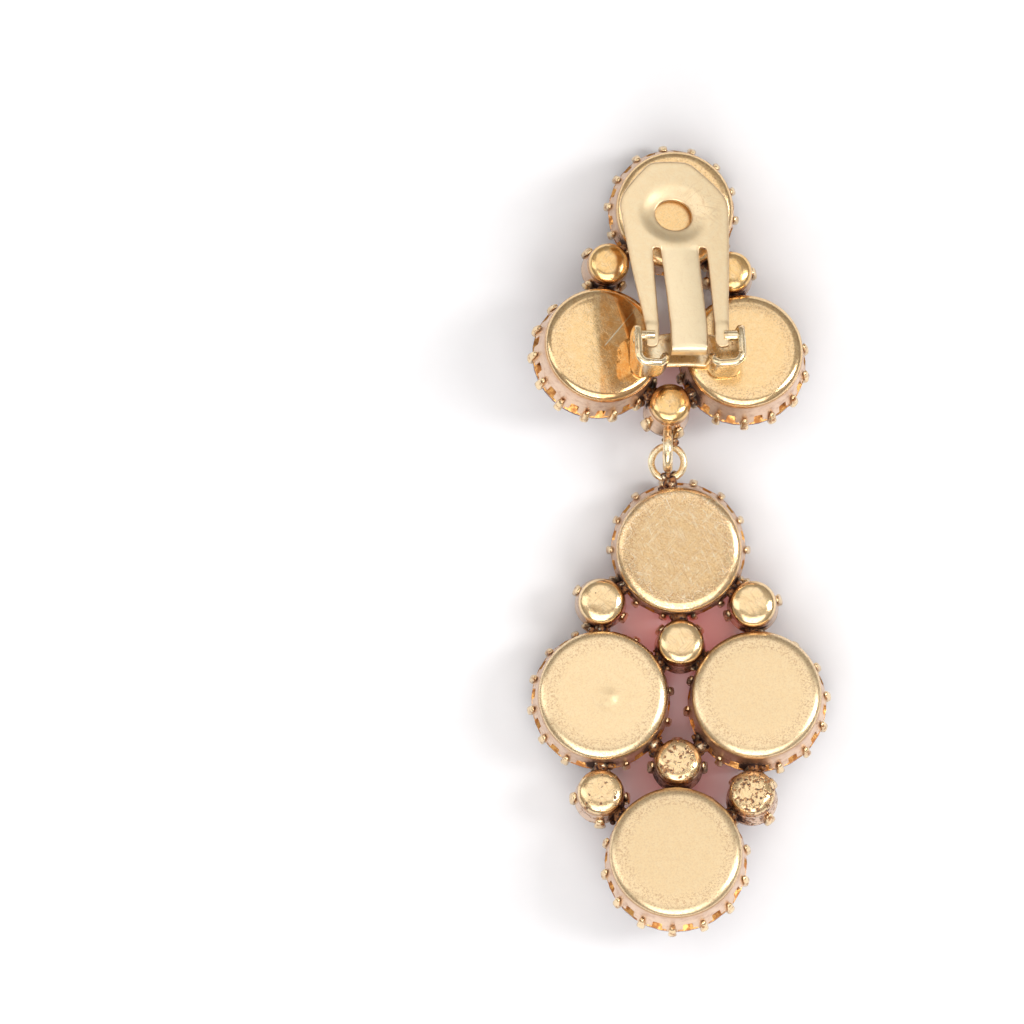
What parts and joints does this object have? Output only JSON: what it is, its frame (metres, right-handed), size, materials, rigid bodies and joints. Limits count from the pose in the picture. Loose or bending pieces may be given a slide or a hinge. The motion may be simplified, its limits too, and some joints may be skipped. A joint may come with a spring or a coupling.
{
  "type": "chandelier earring",
  "caption": "Long clip earring: red stones in coronet cups form a small upper cluster with a hinged paddle clip and a larger diamond-shaped drop on a ring.",
  "frame": {"origin": "under the middle of the earring, on the surface that its stones rest on", "axes": "+Z out of the gilt backs, +Y from the drop's end to the clip end, +X to the right seen from the back"},
  "size_m": [0.0292, 0.076, 0.0144],
  "materials": {
    "gilt_metal": "worn gold plate, satin with fine scratches and dark solder",
    "clip_metal": "pinkish gold plate, satin",
    "red_stone": "polished garnet red, foil backed"
  },
  "bodies": {
    "earring": {"top_setting": "gilt_metal", "drop_setting": "gilt_metal", "top_stone_tip": "red_stone", "top_stone_left": "red_stone", "top_stone_right": "red_stone", "top_small_left": "red_stone", "top_small_right": "red_stone", "top_small_low": "red_stone", "drop_stone_head": "red_stone", "drop_stone_left": "red_stone", "drop_stone_right": "red_stone", "drop_stone_end": "red_stone", "drop_small_head_left": "red_stone", "drop_small_head_right": "red_stone", "drop_small_middle_up": "red_stone", "drop_small_middle_low": "red_stone", "drop_small_end_left": "red_stone", "drop_small_end_right": "red_stone"},
    "paddle": {"clip_paddle": "clip_metal"}
  },
  "joints": [
    {"name": "clip_hinge", "type": "hinge", "parent": "earring", "child": "paddle", "pos_m": [0.00083, 0.01964, 0.01234], "axis": [0.9933, 0, -0.1157], "range_deg": [0, 85]}
  ]
}
